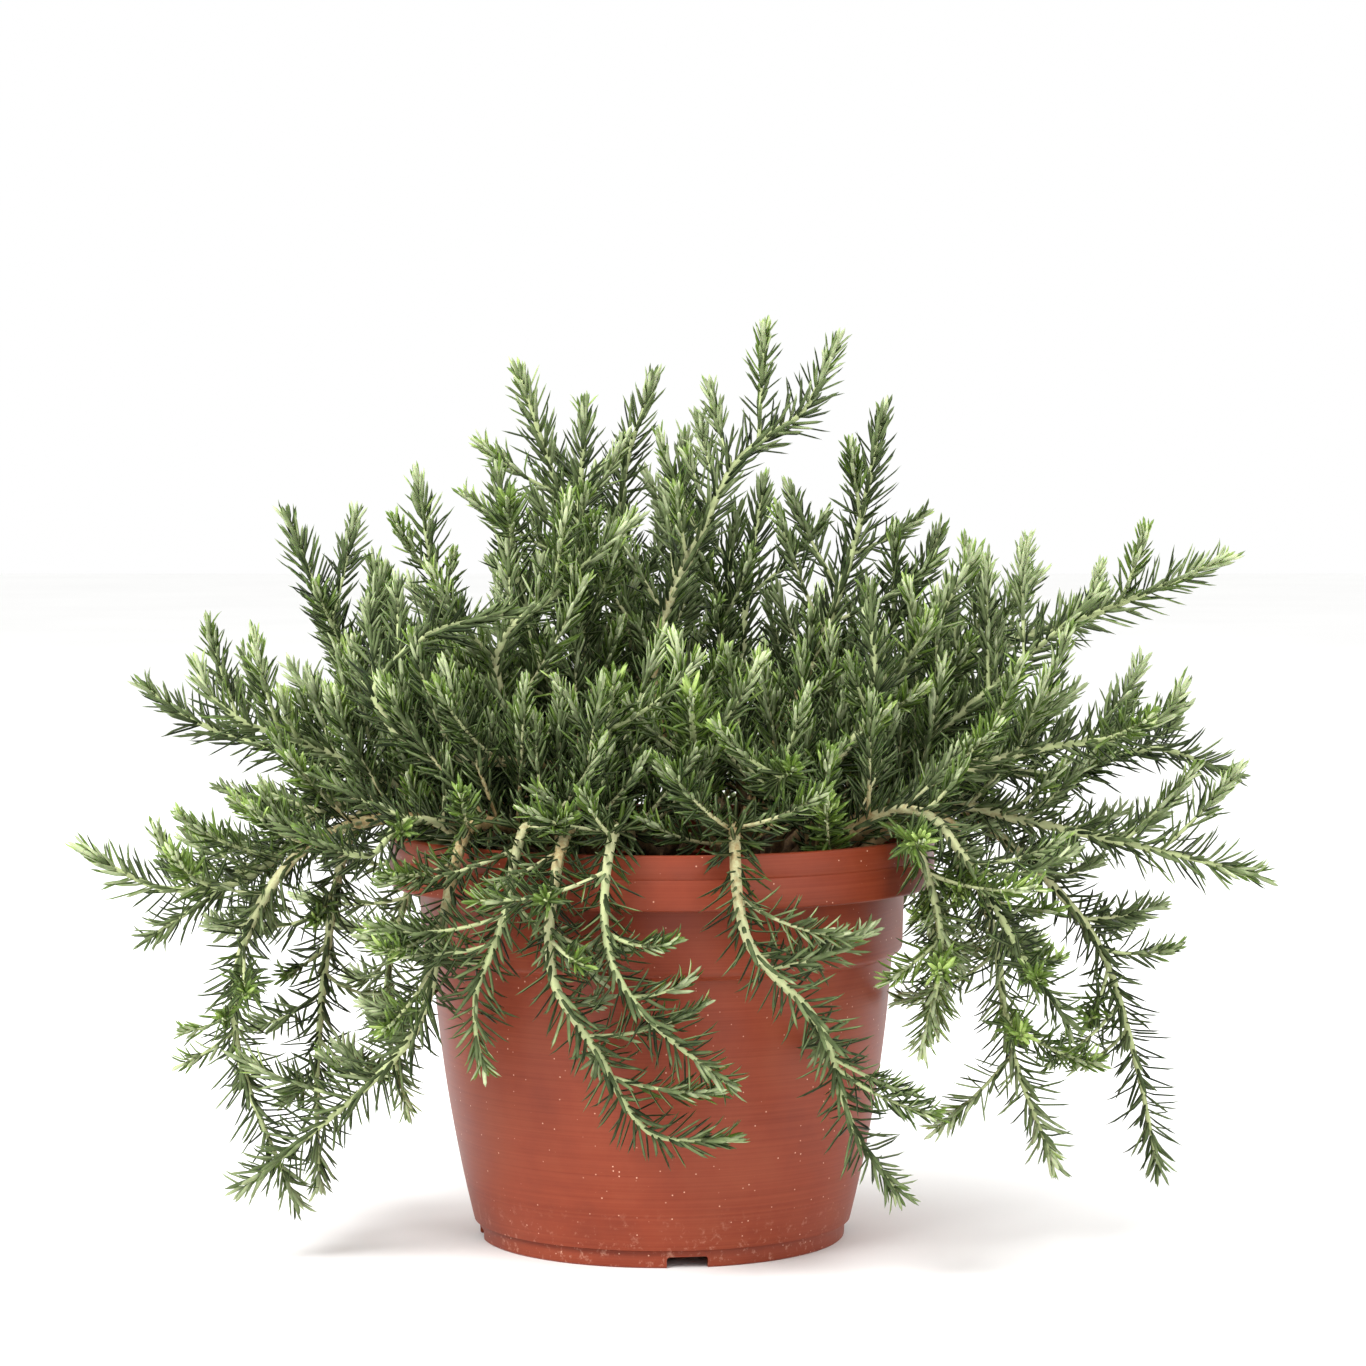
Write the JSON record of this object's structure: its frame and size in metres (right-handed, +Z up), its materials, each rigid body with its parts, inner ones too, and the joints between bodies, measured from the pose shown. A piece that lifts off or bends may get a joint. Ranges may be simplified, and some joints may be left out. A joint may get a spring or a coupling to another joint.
{
  "type": "potted rosemary plant",
  "caption": "Trailing rosemary in a round terracotta-coloured plastic nursery pot, with upright, spreading and hanging needle-leaved sprigs.",
  "frame": {"origin": "middle of the bottom of the whole object's box, on the surface that the pot stands on", "axes": "+Z up; +X along the plant's longest spread; -Y is the front, the side with the widest fan of short forward shoots"},
  "size_m": [0.486, 0.3476, 0.378],
  "materials": {
    "terracotta_plastic": "moulded polypropylene in terracotta colour, satin, fine turning lines, faint pale specks and scuffs",
    "potting_soil": "moist dark peat and bark crumbs with a few pale grains",
    "old_wood": "brown-grey flaking bark of old rosemary stems",
    "rosemary_leaf": "living needle leaves, satin green above with a groove, pale felt below, on pale green to tan stems"
  },
  "bodies": {
    "root": {"pot": "terracotta_plastic", "potting_soil": "potting_soil", "crown_front_left": "old_wood", "crown_front_right": "old_wood", "crown_back_left": "old_wood", "crown_back_right": "old_wood", "crown_middle": "old_wood", "upright_sprig_01": "rosemary_leaf", "upright_sprig_02": "rosemary_leaf", "upright_sprig_03": "rosemary_leaf", "upright_sprig_04": "rosemary_leaf", "upright_sprig_05": "rosemary_leaf", "upright_sprig_06": "rosemary_leaf", "upright_sprig_07": "rosemary_leaf", "upright_sprig_08": "rosemary_leaf", "upright_sprig_09": "rosemary_leaf", "upright_sprig_10": "rosemary_leaf", "upright_sprig_11": "rosemary_leaf", "upright_sprig_12": "rosemary_leaf", "upright_sprig_13": "rosemary_leaf", "upright_sprig_14": "rosemary_leaf", "upright_sprig_15": "rosemary_leaf", "upright_sprig_16": "rosemary_leaf", "upright_sprig_17": "rosemary_leaf", "upright_sprig_18": "rosemary_leaf", "upright_sprig_19": "rosemary_leaf", "upright_sprig_20": "rosemary_leaf", "upright_sprig_21": "rosemary_leaf", "upright_sprig_22": "rosemary_leaf", "upright_sprig_23": "rosemary_leaf", "upright_sprig_24": "rosemary_leaf", "spreading_sprig_01": "rosemary_leaf", "spreading_sprig_02": "rosemary_leaf", "spreading_sprig_03": "rosemary_leaf", "spreading_sprig_04": "rosemary_leaf", "spreading_sprig_05": "rosemary_leaf", "spreading_sprig_06": "rosemary_leaf", "spreading_sprig_07": "rosemary_leaf", "spreading_sprig_08": "rosemary_leaf", "spreading_sprig_09": "rosemary_leaf", "spreading_sprig_10": "rosemary_leaf", "spreading_sprig_11": "rosemary_leaf", "spreading_sprig_12": "rosemary_leaf", "spreading_sprig_13": "rosemary_leaf", "trailing_sprig_01": "rosemary_leaf", "trailing_sprig_02": "rosemary_leaf", "trailing_sprig_03": "rosemary_leaf", "trailing_sprig_04": "rosemary_leaf", "trailing_sprig_05": "rosemary_leaf", "trailing_sprig_06": "rosemary_leaf", "trailing_sprig_07": "rosemary_leaf", "trailing_sprig_08": "rosemary_leaf", "trailing_sprig_09": "rosemary_leaf", "trailing_sprig_10": "rosemary_leaf", "trailing_sprig_11": "rosemary_leaf", "trailing_sprig_12": "rosemary_leaf", "trailing_sprig_13": "rosemary_leaf", "trailing_sprig_14": "rosemary_leaf", "trailing_sprig_15": "rosemary_leaf"}
  },
  "joints": []
}
